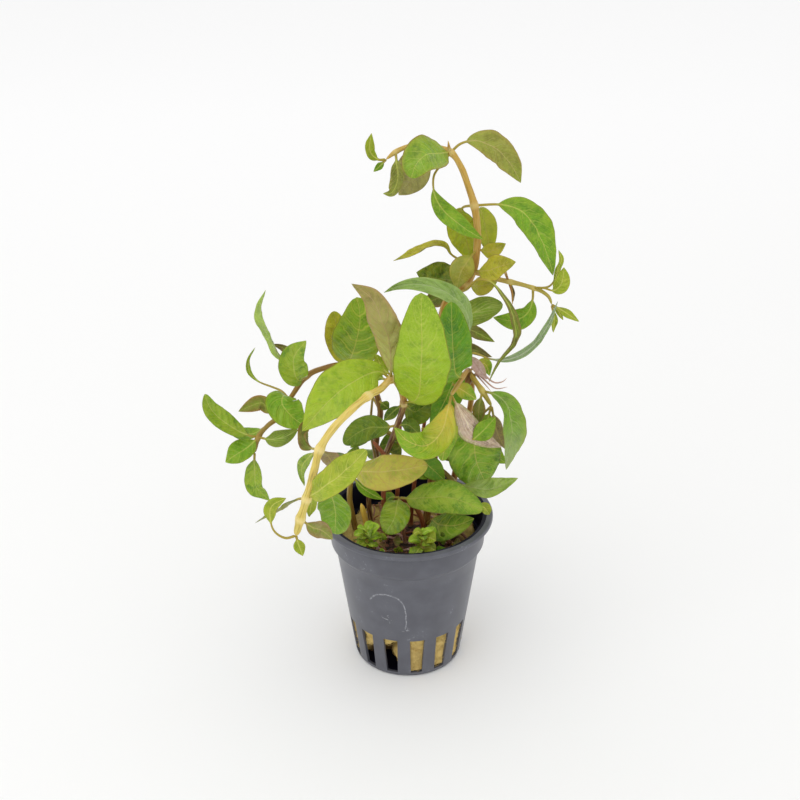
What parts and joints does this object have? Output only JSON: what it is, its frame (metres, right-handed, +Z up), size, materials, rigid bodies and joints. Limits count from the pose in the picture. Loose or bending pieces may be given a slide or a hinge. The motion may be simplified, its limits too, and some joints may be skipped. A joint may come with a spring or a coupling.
{
  "type": "potted ludwigia aquarium plant",
  "caption": "Bunch of arching leafy stems of an aquarium plant in a tapering dark plastic net pot, with a rock wool plug and slots low in the wall.",
  "frame": {"origin": "middle of the pot's flat underside, on the surface that the pot stands on", "axes": "+Z up; the side that the picture shows faces -Y, and its right is +X"},
  "size_m": [0.1153, 0.0804, 0.172],
  "materials": {
    "pot_plastic": "moulded dark grey polypropylene, satin",
    "rock_wool": "damp tan mineral fibre",
    "stem": "smooth golden to brown plant stem",
    "young_stem": "smooth pale yellow young stem",
    "green_leaf": "thin waxy green leaf",
    "lime_leaf": "thin waxy yellow-green leaf",
    "dark_leaf": "thin waxy dark green leaf",
    "olive_leaf": "thin olive leaf",
    "bronze_leaf": "thin bronze to pinkish leaf underside",
    "tan_leaf": "thin tan leaf underside with pinkish veins",
    "pale_leaf": "thin pale grey-green leaf"
  },
  "bodies": {
    "root": {"pot": "pot_plastic", "rock_wool": "rock_wool", "tall_stem": "stem", "side_shoot": "young_stem", "front_stem": "stem", "left_stem": "stem", "low_right_stem": "stem", "low_right_shoot": "young_stem", "leaning_stem": "stem", "short_left_stem": "stem", "arched_stem": "stem", "crown_leaf_left": "green_leaf", "crown_leaf_right": "olive_leaf", "crown_leaf_under": "bronze_leaf", "crown_leaf_hanging": "lime_leaf", "crown_leaf_long": "green_leaf", "upper_leaf_right": "green_leaf", "upper_leaf_back": "olive_leaf", "narrow_leaf_left": "olive_leaf", "dark_leaf_left": "dark_leaf", "olive_leaf_right": "olive_leaf", "ribbon_leaf_bronze": "bronze_leaf", "ribbon_leaf_pale": "pale_leaf", "striped_leaf": "green_leaf", "arching_leaf": "pale_leaf", "side_leaf_hanging": "green_leaf", "side_leaf_lime": "lime_leaf", "front_leaf_large": "lime_leaf", "front_leaf_bronze": "bronze_leaf", "front_leaf_left": "lime_leaf", "front_leaf_low": "lime_leaf", "front_leaf_rim": "green_leaf", "rolled_leaf": "olive_leaf", "centre_leaf_dark": "dark_leaf", "centre_leaf_small": "dark_leaf", "left_leaf_round": "green_leaf", "left_leaf_olive": "olive_leaf", "left_leaf_upright": "green_leaf", "left_leaf_middle": "green_leaf", "left_leaf_tall": "pale_leaf", "left_leaf_outer": "green_leaf", "left_leaf_cup": "green_leaf", "left_leaf_hanging": "green_leaf", "right_leaf_broad": "green_leaf", "right_leaf_pink": "bronze_leaf", "right_leaf_yellow": "lime_leaf", "right_leaf_curling": "lime_leaf", "right_leaf_folded": "green_leaf", "right_leaf_ribbed": "dark_leaf", "tan_leaf": "tan_leaf", "rim_leaf_variegated": "green_leaf", "rim_leaf_pale": "pale_leaf", "pot_leaf_front": "green_leaf", "pot_leaf_right": "dark_leaf", "plantlet_left": "green_leaf", "plantlet_front": "green_leaf"}
  },
  "joints": []
}
